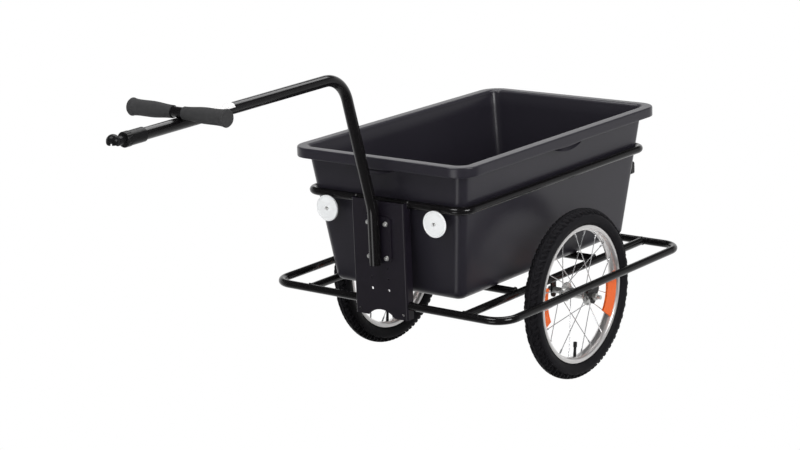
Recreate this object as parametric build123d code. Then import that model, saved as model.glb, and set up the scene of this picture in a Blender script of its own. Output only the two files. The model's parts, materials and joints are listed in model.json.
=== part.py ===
from build123d import *
import os
from math import asin, atan2, cos, degrees, hypot, radians, sin

# A two-wheeled bicycle trailer: a plastic tub dropped into a tube frame, a bent drawbar
# bolted to an upright plate, and two spoked wheels between the frame's inner and outer rails.
#
# Everything is drawn with the trailer level: +X forward to the hitch, +Y to the left,
# +Z up, the axle on the line x = 0, z = tyre_radius. At the end the whole trailer is
# tipped forward about the axle until its front plate stands on the floor, as it parks.

# ---------------------------------------------------------------- driving dimensions, mm
weld_gap = 0.15          # what is left between two pieces that are welded together
seat_gap = 0.3           # between pieces that only rest against each other

# wheels
tyre_radius = 196.5
tyre_half_width = 20.5
tyre_height = 35.5       # from the rim's edge to the tread
tyre_wall = 4.0
rim_depth = 15.0
rim_half_width = 13.5
rim_lip = 2.0
rim_crown_half_width = 7.0
wheel_clearance = 35.95  # between the left tyre and the ring beside the tub
spoke_count = 20
spoke_radius = 1.0
spoke_phase = 14.7       # degrees from +X of the first nipple
spoke_lead = 60.0        # degrees by which a spoke runs ahead of its nipple at the hub
spoke_rim_offset = 1.0   # how far beside the wheel's middle plane a spoke meets the rim
spoke_outer_head = 2.0   # gap under the head of a spoke that starts on a flange's outer face
spoke_inner_head = 0.2   # and on its inner face
hub_half_length = 36.0
hub_barrel_radius = 11.0
hub_flange_radius = 22.5
hub_flange_thickness = 3.0
hub_flange_inset = 6.0   # from the hub's end to the flange's middle
hub_spoke_inset = 4.0    # from the flange's edge to the spokes' circle
hub_end_radius = 8.5
hub_end_length = 4.0
axle_radius = 4.75
bearing_clearance = 0.05
spacer_radius = 7.5
valve_radius = 3.5
valve_length = 34.0
valve_angle = -83.5
valve_cap_radius = 4.5
valve_cap_length = 14.0
wheel_reflector_span = 46.0
wheel_reflector_angles = (-3.5, -167.0)
wheel_reflector_sides = (-1, 1)        # the first is clipped to the inboard spokes
wheel_reflector_rim_gap = 8.0
wheel_reflector_width = 37.0
wheel_reflector_thickness = 5.0

# tub
tub_length = 786.0
tub_width = 497.0
tub_height = 316.0
tub_centre_x = -32.0
tub_wall = 4.0
tub_rim_overhang = 26.0
tub_rim_skirt = 23.0
tub_rim_corner = 50.0
tub_rim_edge = 3.5       # rounding of the rim's upper outside edge
tub_wall_corner = 22.0
tub_taper_x = 34.7       # how far each end wall leans in from the rim to the floor
tub_taper_y = 42.6       # and each side wall
tub_bottom_edge = 14.0

# frame
frame_tube_radius = 9.0
ring_side_clearance = 1.4  # between the tub's side wall and the ring that holds it
ring_end_clearance = 0.8
ring_below_rim = 103.0
ring_corner = 32.0
loop_above_axle = 27.1
loop_front_step = 11.5   # how far the loop's front tube stands ahead of the ring's
loop_rear_step = 12.8    # and its rear tube ahead of the ring's
loop_corner = 46.0
cross_tube_radius = 9.0
cross_tube_rise = 6.1    # above the rails
cross_tube_front_reach = 183.0  # ahead of the tub's middle
cross_tube_rear_reach = 138.0   # behind it

# upright plates
plate_thickness = 2.5
plate_half_width = 73.0
plate_bend_radius = 4.0
plate_foot = 31.6        # below the loop's centre line
plate_head = 5.5         # above the ring's centre line
rear_flange_reach = 7.0  # of the rear plate's flanges, from the ring's rear tube towards the tub
plate_arch_half_width = 36.5
plate_arch_height = 16.0
tow_hole_radius = 3.4
tow_hole_y = 23.1
tow_hole_height = 63.0   # above the plate's foot, as for the other holes
corner_hole_radius = 3.2
corner_hole_inset = 12.5
corner_hole_height = 11.0
pilot_hole_radius = 2.0
pilot_hole_heights = (89.0, 113.0)
window_inner_y = 22.0
window_outer_y = 43.0
window_drop = 4.5        # below the plate's top edge
window_height = 15.0

# drawbar, handle and hitch
bracket_half_width = 37.5
bracket_height = 99.0
bracket_drop = 34.5      # below the plate's top edge
bracket_thickness = 3.0
bracket_corner = 9.0
drawbar_radius = 12.5
drawbar_wall = 2.0
drawbar_tail = 9.0       # below the bracket
drawbar_knee_drop = 18.5  # below the plate's top edge
drawbar_knee_radius = 110.0
shoulder_reach = 84.5   # ahead of the drawbar's upright foot
shoulder_rise = 313.0    # above its knee
drawbar_shoulder_radius = 72.0
top_run_reach = 649.5    # from the shoulder forward to the open end
top_run_drop = 10.5
handle_setback = 149.5   # behind the drawbar's end
handle_half_length = 126.0
handle_radius = 11.0
handle_sink = 1.4       # the depth of the saddle in which the handle sits on the drawbar
grip_length = 114.0
grip_inner_wall = 2.0    # of foam over the bar, near the drawbar
grip_middle_wall = 5.3
grip_end_wall = 7.5
grip_end_cap = 3.0
grip_bore_clearance = 0.2
hitch_sleeve_seat = 46.0  # from the drawbar's end back to the sleeve's start
hitch_sleeve_length = 38.0
hitch_sleeve_wall = 2.4
hitch_collar_length = 15.0
hitch_collar_wall = 3.2
hitch_neck_radius = 9.0
hitch_cup_radius = 13.8
hitch_cup_reach = 26.0   # from the collar's front face to the cup's centre
hitch_cup_rise = 3.0     # of the cup's centre above the drawbar's centre line
hitch_cup_floor = 6.5    # from the cup's centre down to its flat open underside
hitch_cup_back_wall = 2.0  # between the neck and the socket
hitch_socket_radius = 8.0
hitch_socket_depth = 10.0
hitch_slot_angle = 23.0
hitch_slot_width = 5.0
hitch_slot_height = 6.0

# lamps' place: round reflectors in front, small ones behind
front_reflector_radius = 30.0
front_reflector_thickness = 6.0
front_reflector_inset = 68.0  # from the ring's side tube
front_reflector_drop = 31.0   # below the ring's centre line
reflector_strap_width = 22.0
reflector_strap_thickness = 2.5
rear_reflector_inset = 65.0
rear_reflector_width = 56.0
rear_reflector_height = 30.0
rear_reflector_drop = 42.0
rear_reflector_thickness = 13.0

# dropouts and axle ends
dropout_thickness = 4.0
inner_dropout_width = 18.0
inner_dropout_tip = 17.0  # width of its lower end
outer_dropout_width = 46.0
outer_dropout_tip = 17.0
inner_dropout_gap = 27.5  # between the left hub and the dropout on the rail
outer_dropout_gap = 3.8   # and on the loop's side tube
dropout_shoulder = 12.0   # above the axle, from where a dropout narrows to its tip
dropout_below_axle = 17.0
nut_across_flats = 15.0
nut_height = 8.5
inner_axle_stub = 3.0
outer_axle_stub = 11.0

# ---------------------------------------------------------------- worked out from those
# heights, from the floor up
axle_z = tyre_radius
loop_z = axle_z + loop_above_axle
cross_tube_z = loop_z + cross_tube_rise
tub_bottom_z = cross_tube_z + cross_tube_radius + seat_gap
tub_top_z = tub_bottom_z + tub_height
ring_z = tub_top_z - ring_below_rim
plate_bottom_z = loop_z - plate_foot
plate_top_z = ring_z + plate_head
bracket_top_z = plate_top_z - bracket_drop
bracket_bottom_z = bracket_top_z - bracket_height
front_reflector_z = ring_z - front_reflector_drop
rear_reflector_z = ring_z - rear_reflector_drop - rear_reflector_height / 2

# the ring follows the tub's walls at its height, and the loop follows the ring
ring_share = ring_below_rim / tub_height
ring_half_length = (tub_length / 2 - tub_rim_overhang - tub_taper_x * ring_share
                    + ring_end_clearance + frame_tube_radius)
ring_half_width = (tub_width / 2 - tub_rim_overhang - tub_taper_y * ring_share
                   + ring_side_clearance + frame_tube_radius)
ring_front_x = tub_centre_x + ring_half_length
ring_rear_x = tub_centre_x - ring_half_length
loop_front_x = ring_front_x + loop_front_step
loop_rear_x = ring_rear_x + loop_rear_step
cross_tube_front_x = tub_centre_x + cross_tube_front_reach
cross_tube_rear_x = tub_centre_x - cross_tube_rear_reach
front_reflector_y = ring_half_width - front_reflector_inset
rear_reflector_y = ring_half_width - rear_reflector_inset

# plates and drawbar, from the frame forward
front_plate_back_x = loop_front_x + frame_tube_radius + weld_gap
front_plate_face_x = front_plate_back_x + plate_thickness
rear_plate_back_x = ring_rear_x - frame_tube_radius - weld_gap
corner_hole_y = plate_half_width - corner_hole_inset
bracket_face_x = front_plate_face_x + weld_gap + bracket_thickness
drawbar_x = bracket_face_x + weld_gap + drawbar_radius
drawbar_foot_z = bracket_bottom_z - drawbar_tail
drawbar_knee_z = plate_top_z - drawbar_knee_drop
drawbar_shoulder = (drawbar_x + shoulder_reach, drawbar_knee_z + shoulder_rise)
drawbar_end = (drawbar_shoulder[0] + top_run_reach, drawbar_shoulder[1] - top_run_drop)
handle_x = drawbar_end[0] - handle_setback
hitch_sleeve_start_x = drawbar_end[0] - hitch_sleeve_seat
hitch_collar_start_x = hitch_sleeve_start_x + hitch_sleeve_length + weld_gap
hitch_cup_start_x = hitch_collar_start_x + hitch_collar_length + weld_gap

# the wheels stand beside the ring, and the rails and the loop's sides beside the wheels
wheel_y = ring_half_width + frame_tube_radius + wheel_clearance + tyre_half_width
hub_inner_y = wheel_y - hub_half_length
hub_outer_y = wheel_y + hub_half_length
inner_ear_out = hub_inner_y - inner_dropout_gap
inner_ear_in = inner_ear_out - dropout_thickness
outer_ear_in = hub_outer_y + outer_dropout_gap
outer_ear_out = outer_ear_in + dropout_thickness
rail_y = inner_ear_out - dropout_thickness / 2
loop_half_width = outer_ear_in + dropout_thickness / 2
# both wheels are fitted the same way round, so the right one stands nearer to the tub
right_wheel_shift = inner_dropout_gap - outer_dropout_gap

rim_outer_radius = tyre_radius - tyre_height
rim_inner_radius = rim_outer_radius - rim_depth
wheel_reflector_outer = rim_inner_radius - wheel_reflector_rim_gap
wheel_reflector_inner = wheel_reflector_outer - wheel_reflector_width
hub_spoke_circle = hub_flange_radius - hub_spoke_inset
hub_flange_offset = hub_half_length - hub_flange_inset
head_step = hub_flange_thickness / 2 + spoke_radius
outer_head_offset = hub_flange_offset + head_step + spoke_outer_head
inner_head_offset = hub_flange_offset - head_step - spoke_inner_head

UP = (Align.CENTER, Align.CENTER, Align.MIN)


# ---------------------------------------------------------------- helpers
def rod(start, end, radius):
    """A round bar from one point to another."""
    run = Vector(*end) - Vector(*start)
    return Plane(origin=start, z_dir=run) * Cylinder(radius, run.length, align=UP)


def block(x_low, x_high, y_low, y_high, z_low, z_high):
    """A box between two corners."""
    low = (Align.MIN, Align.MIN, Align.MIN)
    return Pos(x_low, y_low, z_low) * Box(x_high - x_low, y_high - y_low, z_high - z_low, align=low)


def tube_ring(front_x, rear_x, half_width, corner, z, radius):
    """A bar bent to a rounded rectangle that lies level at height z."""
    outline = RectangleRounded(front_x - rear_x, 2 * half_width, corner)
    path = (Pos((front_x + rear_x) / 2, 0, z) * outline).face().outer_wire()
    return sweep(Plane(origin=path @ 0, z_dir=path % 0) * Circle(radius), path=path)


def across(piece):
    """The same piece on the right side of the trailer."""
    return mirror(piece, about=Plane.XZ)


def about_axle(profile_points):
    """A ring about the wheel's axle: corners are (radius, distance along the axle)."""
    face = make_face(Polyline(*profile_points, close=True))
    return Pos(0, wheel_y, axle_z) * revolve(face, axis=Axis.Y)


def wheel_point(radius, angle, offset):
    """A point of the left wheel: angle in degrees from +X towards +Z, offset outboard."""
    return (radius * cos(radians(angle)), wheel_y + offset, axle_z + radius * sin(radians(angle)))


# ---------------------------------------------------------------- frame tubes
def ring_tube(extra=0.0):
    return tube_ring(ring_front_x, ring_rear_x, ring_half_width, ring_corner, ring_z,
                     frame_tube_radius + extra)


def loop_tube(extra=0.0):
    return tube_ring(loop_front_x, loop_rear_x, loop_half_width, loop_corner, loop_z,
                     frame_tube_radius + extra)


def rail(extra=0.0):
    """The left inner rail, its ends coped to the loop's front and rear tubes."""
    bar = rod((loop_rear_x, rail_y, loop_z), (loop_front_x, rail_y, loop_z),
              frame_tube_radius + extra)
    return bar - loop_tube(weld_gap)


def cross_tube(x):
    """A bar between the rails that carries the tub's floor, coped to both rails."""
    bar = rod((x, -rail_y, cross_tube_z), (x, rail_y, cross_tube_z), cross_tube_radius)
    rails = rod((loop_rear_x, rail_y, loop_z), (loop_front_x, rail_y, loop_z),
                frame_tube_radius + weld_gap)
    return bar - rails - across(rails)


# ---------------------------------------------------------------- tub
def tub_section(inset, z):
    """A level section through the tub's outer wall at height z, inset all round."""
    share = (tub_top_z - z) / (tub_top_z - tub_bottom_z)
    length = tub_length - 2 * (tub_rim_overhang + tub_taper_x * share + inset)
    width = tub_width - 2 * (tub_rim_overhang + tub_taper_y * share + inset)
    return Pos(tub_centre_x, 0, z) * RectangleRounded(length, width, tub_wall_corner - inset)


def tub():
    body = loft([tub_section(0, tub_bottom_z), tub_section(0, tub_top_z)])
    body = fillet(body.faces().sort_by(Axis.Z)[0].edges(), tub_bottom_edge)
    rim = Pos(tub_centre_x, 0, tub_top_z) * RectangleRounded(tub_length, tub_width, tub_rim_corner)
    lip = extrude(rim, amount=-tub_rim_skirt)
    lip = fillet(lip.faces().sort_by(Axis.Z)[-1].edges(), tub_rim_edge)
    under = Pos(tub_centre_x, 0, tub_top_z - tub_wall) * RectangleRounded(
        tub_length - 2 * tub_wall, tub_width - 2 * tub_wall, tub_rim_corner - tub_wall)
    lip -= extrude(under, amount=-tub_rim_skirt)
    hollow = loft([tub_section(tub_wall, tub_bottom_z + tub_wall), tub_section(tub_wall, tub_top_z)])
    hollow = fillet(hollow.faces().sort_by(Axis.Z)[0].edges(), tub_bottom_edge - tub_wall)
    lid = Pos(tub_centre_x, 0, tub_top_z) * RectangleRounded(
        tub_length - 2 * (tub_rim_overhang + tub_wall),
        tub_width - 2 * (tub_rim_overhang + tub_wall), tub_wall_corner - tub_wall)
    return body + lip - hollow - extrude(lid, amount=tub_wall)


# ---------------------------------------------------------------- upright plates
def folded_plate(back_x, edge_x, towards):
    """Bent sheet standing across the trailer, its two flanges turned in towards the tub.

    back_x is the inner face of the sheet, and edge_x is where the flanges end;
    towards is +1 in front and -1 behind.
    """
    face_x = back_x + towards * plate_thickness
    low, high = min(face_x, edge_x), max(face_x, edge_x)
    shell = block(low, high, -plate_half_width, plate_half_width, plate_bottom_z, plate_top_z)
    corners = shell.edges().filter_by(Axis.Z).sort_by(Axis.X, reverse=towards > 0)[:2]
    shell = fillet(corners, plate_bend_radius)
    inside = block(low - plate_thickness if towards > 0 else back_x,
                   back_x if towards > 0 else high + plate_thickness,
                   plate_thickness - plate_half_width, plate_half_width - plate_thickness,
                   plate_bottom_z - 1, plate_top_z + 1)
    corners = inside.edges().filter_by(Axis.Z).sort_by(Axis.X, reverse=towards > 0)[:2]
    return shell - fillet(corners, plate_bend_radius - plate_thickness)


def plate_cutter(shape, x):
    """A flat outline in y and z, driven through the sheet at x."""
    return extrude(Plane(origin=(x, 0, 0), x_dir=(0, 1, 0), z_dir=(1, 0, 0)) * shape,
                   amount=frame_tube_radius + loop_front_step + loop_rear_step, both=True)


def plate_arch(x):
    """The notch in the bottom edge that leaves the plate standing on two feet."""
    radius = (plate_arch_half_width**2 + plate_arch_height**2) / (2 * plate_arch_height)
    outline = Pos(0, plate_bottom_z + plate_arch_height - radius) * Circle(radius)
    return plate_cutter(outline, x)


def front_plate():
    plate = folded_plate(front_plate_back_x, ring_front_x, 1)
    plate -= plate_arch(front_plate_face_x)
    for side in (-1, 1):
        for y, height, radius in (
                (tow_hole_y, tow_hole_height, tow_hole_radius),
                (corner_hole_y, corner_hole_height, corner_hole_radius),
                *((tow_hole_y, height, pilot_hole_radius) for height in pilot_hole_heights)):
            z = plate_bottom_z + height
            plate -= rod((front_plate_back_x - 1, side * y, z),
                         (front_plate_face_x + 1, side * y, z), radius)
    top = plate_top_z - window_drop
    window = Polygon((window_inner_y, top), (window_outer_y, top),
                     (window_inner_y, top - window_height), align=None)
    sheet = Plane(origin=(front_plate_back_x - 1, 0, 0), x_dir=(0, 1, 0), z_dir=(1, 0, 0))
    plate -= extrude(sheet * window, amount=plate_thickness + 2)
    return plate - loop_tube(weld_gap) - ring_tube(weld_gap)


def rear_plate():
    plate = folded_plate(rear_plate_back_x, ring_rear_x + rear_flange_reach, -1)
    plate -= plate_arch(rear_plate_back_x - plate_thickness)
    return plate - loop_tube(weld_gap) - ring_tube(weld_gap)


# ---------------------------------------------------------------- drawbar
def drawbar_bracket():
    """The flat pad between the plate and the drawbar, with rounded corners."""
    outline = Pos(0, (bracket_bottom_z + bracket_top_z) / 2) * RectangleRounded(
        2 * bracket_half_width, bracket_top_z - bracket_bottom_z, bracket_corner)
    pad = Plane(origin=(front_plate_face_x + weld_gap, 0, 0), x_dir=(0, 1, 0), z_dir=(1, 0, 0))
    return extrude(pad * outline, amount=bracket_thickness)


def drawbar_path():
    corners = [(drawbar_x, 0, drawbar_foot_z), (drawbar_x, 0, drawbar_knee_z),
               (drawbar_shoulder[0], 0, drawbar_shoulder[1]), (drawbar_end[0], 0, drawbar_end[1])]
    return FilletPolyline(*corners, radius=[drawbar_knee_radius, drawbar_shoulder_radius])


def drawbar():
    path = drawbar_path()
    start = Plane(origin=path @ 0, z_dir=path % 0)
    section = Circle(drawbar_radius) - Circle(drawbar_radius - drawbar_wall)
    return sweep(start * section, path=path)


def drawbar_height(x):
    """Height of the drawbar's centre line on its long top run."""
    (x0, z0), (x1, z1) = drawbar_shoulder, drawbar_end
    return z0 + (z1 - z0) * (x - x0) / (x1 - x0)


top_run_angle = atan2(drawbar_end[1] - drawbar_shoulder[1], drawbar_end[0] - drawbar_shoulder[0])
handle_z = (drawbar_height(handle_x) + handle_radius - handle_sink
            + drawbar_radius / cos(top_run_angle) + weld_gap)


def handle_bar():
    """The cross bar, with a shallow saddle cut where it is welded on the drawbar."""
    bar = rod((handle_x, -handle_half_length, handle_z), (handle_x, handle_half_length, handle_z),
              handle_radius)
    saddle = along_x(drawbar_radius + weld_gap, 4 * handle_radius)
    return bar - on_top_run(handle_x - 2 * handle_radius) * saddle


def grip():
    """The left foam grip: a sleeve that swells towards a flared, closed outer end."""
    start = handle_half_length + grip_end_cap - grip_length
    bore = handle_radius + grip_bore_clearance
    end = start + grip_length
    thin, middle, wide = (handle_radius + wall for wall in
                          (grip_inner_wall, grip_middle_wall, grip_end_wall))
    side = Spline((thin, start), (middle, start + 0.45 * grip_length),
                  (middle, start + 0.8 * grip_length), (wide, end - grip_end_cap),
                  tangents=[(0, 1), (0.3, 1)])
    outline = side + Polyline((wide, end - grip_end_cap), (wide - 2, end), (0, end),
                              (0, end - grip_end_cap + seat_gap),
                              (bore, end - grip_end_cap + seat_gap),
                              (bore, start), (thin, start))
    return Pos(handle_x, 0, handle_z) * revolve(make_face(outline), axis=Axis.Y)


def on_top_run(x):
    """A place on the drawbar's top run, with its own x forward along the tube."""
    return Pos(x, 0, drawbar_height(x)) * Rot(0, -degrees(top_run_angle), 0)


def along_x(radius, length):
    return Rot(0, 90, 0) * Cylinder(radius, length, align=UP)


def hitch_sleeve():
    ring = along_x(drawbar_radius + hitch_sleeve_wall, hitch_sleeve_length)
    ring -= along_x(drawbar_radius + weld_gap, hitch_sleeve_length)
    return on_top_run(hitch_sleeve_start_x) * ring


def hitch_collar():
    """The locking collar: its rear half slides over the drawbar's end, the front is closed."""
    ring = along_x(drawbar_radius + hitch_collar_wall, hitch_collar_length)
    bore_length = drawbar_end[0] - hitch_collar_start_x + weld_gap
    ring -= along_x(drawbar_radius + weld_gap, bore_length)
    return on_top_run(hitch_collar_start_x) * ring


def hitch_cup():
    """The coupling head: a dome on a short neck, cut flat below, with a round socket in it.

    Two slots in its lower edge let it spring over a ball.
    """
    underside = hitch_cup_rise - hitch_cup_floor
    span = 3 * hitch_cup_reach
    dome = Pos(hitch_cup_reach, 0, hitch_cup_rise) * Sphere(hitch_cup_radius)
    dome -= Pos(0, 0, underside) * Box(span, span, span,
                                       align=(Align.CENTER, Align.CENTER, Align.MAX))
    neck = along_x(hitch_neck_radius,
                   hitch_cup_reach - hitch_socket_radius - hitch_cup_back_wall)
    mouth = Pos(hitch_cup_reach, 0, underside)
    head = dome + neck - mouth * Cylinder(hitch_socket_radius, hitch_socket_depth, align=UP)
    for angle in (-hitch_slot_angle, hitch_slot_angle):
        head -= mouth * Rot(0, 0, angle) * Box(
            2 * hitch_cup_radius, hitch_slot_width, hitch_slot_height,
            align=(Align.MIN, Align.CENTER, Align.MIN))
    return on_top_run(hitch_cup_start_x) * head


# ---------------------------------------------------------------- reflectors
def front_reflector_strap():
    """A flat strap welded to the front of the ring, for the left round reflector."""
    x = ring_front_x + frame_tube_radius + weld_gap
    return block(x, x + reflector_strap_thickness,
                 front_reflector_y - reflector_strap_width / 2,
                 front_reflector_y + reflector_strap_width / 2,
                 front_reflector_z - front_reflector_radius / 2, ring_z)


def front_reflector():
    x = ring_front_x + frame_tube_radius + reflector_strap_thickness + 2 * weld_gap
    disc = along_x(front_reflector_radius, front_reflector_thickness)
    disc = fillet(disc.edges().sort_by(Axis.X)[-1], 2.5)
    return Pos(x, front_reflector_y, front_reflector_z) * disc


def rear_reflector_strap():
    """A flat strap welded under the ring's rear tube, for the left rear reflector."""
    x = ring_rear_x - reflector_strap_thickness / 2
    strap = block(x, x + reflector_strap_thickness,
                  rear_reflector_y - reflector_strap_width / 2,
                  rear_reflector_y + reflector_strap_width / 2,
                  rear_reflector_z - rear_reflector_height / 3, ring_z)
    return strap - ring_tube(weld_gap)


def rear_reflector():
    x = ring_rear_x - reflector_strap_thickness / 2 - weld_gap
    lens = block(x - rear_reflector_thickness, x,
                 rear_reflector_y - rear_reflector_width / 2,
                 rear_reflector_y + rear_reflector_width / 2,
                 rear_reflector_z - rear_reflector_height / 2,
                 rear_reflector_z + rear_reflector_height / 2)
    return fillet(lens.edges().filter_by(Axis.X), 5)


# ---------------------------------------------------------------- axle and its carriers
def dropout(y, width, tip):
    """A flat ear under the frame tube at y, narrowing round the axle to a round lower end."""
    plane = Plane(origin=(0, y, 0), x_dir=(1, 0, 0), z_dir=(0, -1, 0))
    shoulder = axle_z + dropout_shoulder
    tip_z = axle_z - dropout_below_axle + tip / 2
    outline = Polygon((-width / 2, loop_z), (-width / 2, shoulder), (-tip / 2, tip_z),
                      (tip / 2, tip_z), (width / 2, shoulder), (width / 2, loop_z), align=None)
    outline += Pos(0, tip_z) * Circle(tip / 2)
    ear = extrude(plane * outline, amount=dropout_thickness / 2, both=True)
    ear -= rod((0, y - width, axle_z), (0, y + width, axle_z), axle_radius + weld_gap)
    tube = rod((-width, y, loop_z), (width, y, loop_z), frame_tube_radius + weld_gap)
    return ear - tube


def axle(hub_shift=0.0):
    """The left axle, with the two spacers that keep the hub in its place.

    hub_shift is how far inboard of the left wheel's place the hub runs.
    """
    inner_end = inner_ear_in - nut_height - inner_axle_stub
    outer_end = outer_ear_out + nut_height + outer_axle_stub
    bar = rod((0, inner_end, axle_z), (0, outer_end, axle_z), axle_radius)
    bar += rod((0, inner_ear_out + weld_gap, axle_z),
               (0, hub_inner_y - hub_shift - seat_gap, axle_z), spacer_radius)
    bar += rod((0, hub_outer_y - hub_shift + seat_gap, axle_z),
               (0, outer_ear_in - weld_gap, axle_z), spacer_radius)
    return bar


def hex_nut(y):
    """An axle nut whose inner side face stands at y and which reaches nut_height outboard."""
    across_corners = nut_across_flats / cos(radians(30))
    blank = RegularPolygon(across_corners / 2, 6) - Circle(axle_radius + weld_gap)
    plane = Plane(origin=(0, y, axle_z), x_dir=(1, 0, 0), z_dir=(0, 1, 0))
    return extrude(plane * blank, amount=nut_height)


def axle_nuts():
    return Compound(children=[hex_nut(inner_ear_in - weld_gap - nut_height),
                              hex_nut(outer_ear_out + weld_gap)])


# ---------------------------------------------------------------- wheel
def tyre():
    """A hollow carcass round the rim's edge, open towards the rim."""
    middle = tyre_radius - tyre_half_width
    seat = rim_outer_radius + weld_gap
    ball = Pos(middle, 0) * (Circle(tyre_half_width) - Circle(tyre_half_width - tyre_wall))
    keep = Pos(seat, 0) * Rectangle(3 * tyre_half_width, 3 * tyre_half_width,
                                    align=(Align.MIN, Align.CENTER))
    profile = ball & keep
    return Pos(0, wheel_y, axle_z) * revolve(profile, axis=Axis.Y)


def rim():
    """A shallow channel: two upright lips on a bed that narrows towards the spokes."""
    bed = rim_outer_radius - 4 * rim_lip
    inner = rim_half_width - rim_lip
    half = [(rim_inner_radius, rim_crown_half_width), (bed - rim_lip, rim_half_width),
            (rim_outer_radius, rim_half_width), (rim_outer_radius, inner), (bed, inner)]
    return about_axle(half + [(r, -a) for r, a in reversed(half)])


def hub():
    """A barrel with two flanges, bored to run on the axle."""
    barrel = rod((0, hub_inner_y, axle_z), (0, hub_outer_y, axle_z), hub_end_radius)
    barrel += rod((0, hub_inner_y + hub_end_length, axle_z),
                  (0, hub_outer_y - hub_end_length, axle_z), hub_barrel_radius)
    for offset in (-hub_flange_offset, hub_flange_offset):
        low = wheel_y + offset - hub_flange_thickness / 2
        barrel += rod((0, low, axle_z), (0, low + hub_flange_thickness, axle_z), hub_flange_radius)
    bore = rod((0, hub_inner_y - 1, axle_z), (0, hub_outer_y + 1, axle_z),
               axle_radius + bearing_clearance)
    return barrel - bore


def spokes():
    """Crossed spokes: on each flange they start by turns from its outer and its inner face."""
    bars = []
    pitch = 360 / spoke_count
    for i in range(spoke_count):
        angle = spoke_phase + i * pitch
        side = 1 if i % 2 == 0 else -1
        outside = (i // 2) % 2 == 0
        offset = outer_head_offset if outside else inner_head_offset
        lead = spoke_lead if outside else -spoke_lead
        bars.append(rod(wheel_point(hub_spoke_circle, angle + lead, side * offset),
                        wheel_point(rim_inner_radius - spoke_radius, angle,
                                    side * spoke_rim_offset), spoke_radius))
    return Compound(children=bars)


def valve():
    tip = rim_inner_radius - valve_length
    stem = rod(wheel_point(rim_inner_radius - weld_gap, valve_angle, 0),
               wheel_point(tip, valve_angle, 0), valve_radius)
    cap = rod(wheel_point(tip + valve_cap_length, valve_angle, 0),
              wheel_point(tip, valve_angle, 0), valve_cap_radius)
    return stem + cap


def wheel_reflectors():
    """Two curved reflectors, each clipped to the side of a spoke that starts inside a flange."""
    share = (rim_inner_radius - wheel_reflector_inner) / (rim_inner_radius - hub_spoke_circle)
    beside = (spoke_rim_offset + (inner_head_offset - spoke_rim_offset) * share
              + spoke_radius + weld_gap)
    pieces = []
    for middle, side in zip(wheel_reflector_angles, wheel_reflector_sides):
        profile = Pos(wheel_reflector_inner, side * (beside + wheel_reflector_thickness / 2))
        profile *= Rectangle(wheel_reflector_width, wheel_reflector_thickness,
                             align=(Align.MIN, Align.CENTER))
        arc = revolve(profile, axis=Axis.Y, revolution_arc=wheel_reflector_span)
        turn = Rot(0, -(middle - wheel_reflector_span / 2), 0)
        pieces.append(Pos(0, wheel_y, axle_z) * turn * Rot(0, -wheel_reflector_span, 0) * arc)
    return Compound(children=pieces)


# ---------------------------------------------------------------- the level trailer
def level_pieces():
    pieces = {
        "tub": tub(),
        "tub_ring": ring_tube(),
        "lower_loop": loop_tube(),
        "front_cross_tube": cross_tube(cross_tube_front_x),
        "rear_cross_tube": cross_tube(cross_tube_rear_x),
        "front_plate": front_plate(),
        "rear_plate": rear_plate(),
        "drawbar_bracket": drawbar_bracket(),
        "drawbar": drawbar(),
        "handle_bar": handle_bar(),
        "hitch_sleeve": hitch_sleeve(),
        "hitch_collar": hitch_collar(),
        "hitch_cup": hitch_cup(),
    }
    both_sides = {
        "rail": rail(),
        "grip": grip(),
        "front_reflector_strap": front_reflector_strap(),
        "front_reflector": front_reflector(),
        "rear_reflector_strap": rear_reflector_strap(),
        "rear_reflector": rear_reflector(),
        "inner_dropout": dropout(rail_y, inner_dropout_width, inner_dropout_tip),
        "outer_dropout": dropout(loop_half_width, outer_dropout_width, outer_dropout_tip),
        "axle_nuts": axle_nuts(),
    }
    on_each_wheel = {
        "tyre": tyre(),
        "rim": rim(),
        "hub": hub(),
        "spokes": spokes(),
        "valve": valve(),
        "wheel_reflectors": wheel_reflectors(),
    }
    for name, piece in both_sides.items():
        pieces["left_" + name] = piece
        pieces["right_" + name] = across(piece)
    for name, piece in on_each_wheel.items():
        pieces["left_" + name] = piece
        pieces["right_" + name] = Pos(0, right_wheel_shift, 0) * across(piece)
    pieces["left_axle"] = axle()
    pieces["right_axle"] = across(axle(right_wheel_shift))
    return pieces


# ---------------------------------------------------------------- how it parks
def drop_angle(x, z):
    """How far the trailer tips forward about its axle until the point (x, z) meets the floor."""
    reach = hypot(x, z - axle_z)
    return asin(tyre_radius / reach) + atan2(z - axle_z, x)


park_angle = drop_angle(front_plate_face_x, plate_bottom_z)


def parked():
    """Tips a level piece forward about the axle; the tyres keep touching the floor."""
    return Pos(0, 0, axle_z) * Rot(0, degrees(park_angle), 0) * Pos(0, 0, -axle_z)


def main():
    tipped = {name: parked() * piece for name, piece in level_pieces().items()}
    boxes = [piece.bounding_box() for piece in tipped.values()]
    middle_x = (min(b.min.X for b in boxes) + max(b.max.X for b in boxes)) / 2
    os.makedirs("parts", exist_ok=True)
    for name, piece in tipped.items():
        export_step(Pos(-middle_x, 0, 0) * piece, f"parts/{name}.step")
    print(f"park angle {degrees(park_angle):.4f} degrees, origin {middle_x:.4f} mm ahead of the axle")


main()
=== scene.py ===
# %% [markdown]
# # A bicycle trailer, dressed for its picture
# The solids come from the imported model, each in its place and with its own name. This notebook
# gives them paint, plastic, rubber and metal, and makes the parts that a solid modeller leaves
# plain: the moulded tub with its hand grips, the knobbly tyres, the laced spokes, weld beads,
# bolts, lenses and a knurled collar. Loading comes first, because every place below is worked
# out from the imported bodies.

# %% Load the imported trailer
import json
import math
import bmesh
import bpy
import numpy as np
from mathutils import Matrix


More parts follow.
